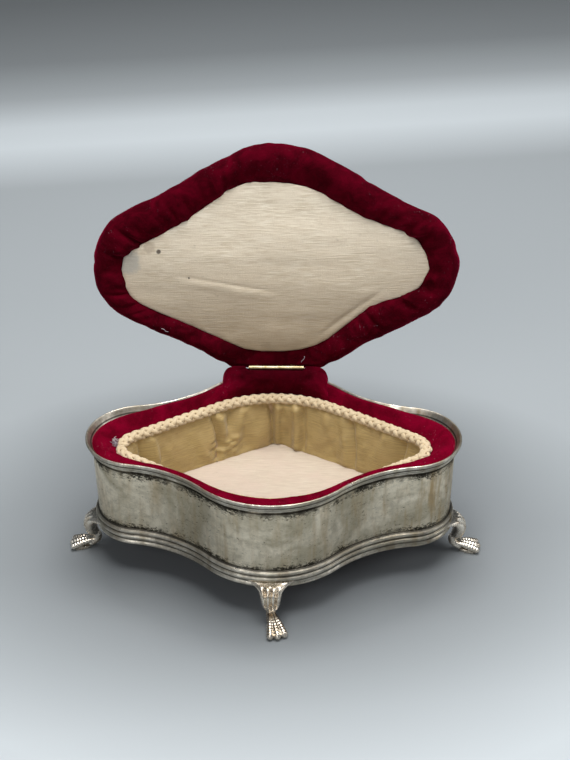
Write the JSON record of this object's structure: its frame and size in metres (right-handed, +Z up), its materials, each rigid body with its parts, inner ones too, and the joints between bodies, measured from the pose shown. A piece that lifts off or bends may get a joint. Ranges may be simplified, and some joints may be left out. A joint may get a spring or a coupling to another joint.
{
  "type": "trinket box",
  "caption": "Serpentine lozenge metal trinket box on cabriole paw feet, with a silk-lined well, velvet collar, braided cord and hinged padded velvet lid.",
  "frame": {"origin": "centre of the cloth face under the base", "axes": "+X along the length, +Y towards the hinge, +Z up"},
  "size_m": [0.1852, 0.1465, 0.1651],
  "materials": {
    "silver_plate": "tarnished satin silver plate",
    "cast_foot": "worn cast silver plate with warm highlights",
    "brass": "pale aged brass",
    "wood": "plain pale softwood",
    "card": "grey-brown card",
    "gold_satin": "champagne satin, creased",
    "cord": "cream plaited cord",
    "wadding": "cotton wadding",
    "ivory_silk": "ivory slub silk, lightly soiled",
    "crimson_velvet": "crimson cotton velvet",
    "burgundy_velvet": "burgundy cotton velvet, dusty",
    "base_cloth": "thin dark red cloth"
  },
  "bodies": {
    "base": {"wall_band": "silver_plate", "top_rim": "silver_plate", "base_moulding": "silver_plate", "foot_front": "cast_foot", "foot_back": "cast_foot", "foot_left": "cast_foot", "foot_right": "cast_foot", "base_cloth": "base_cloth", "base_board": "wood", "carcass": "wood", "velvet_collar": "crimson_velvet", "hinge_block": "wood", "hinge_block_cover": "crimson_velvet", "side_lining": "gold_satin", "floor_card": "card", "floor_pad": "ivory_silk", "braid_cord": "cord", "hinge_leaf_base": "brass", "hinge_pin": "brass", "hinge_screws_base": "brass"},
    "lid": {"lid_board": "wood", "lid_stuffing": "wadding", "lid_velvet": "burgundy_velvet", "lid_lining_card": "card", "lid_lining_silk": "ivory_silk", "hinge_leaf_lid": "brass", "hinge_screws_lid": "brass"}
  },
  "joints": [
    {"name": "lid_hinge", "type": "hinge", "parent": "base", "child": "lid", "pos_m": [0, 0.0482, 0.0484], "axis": [1, 0, 0], "range_deg": [0, 105]}
  ]
}
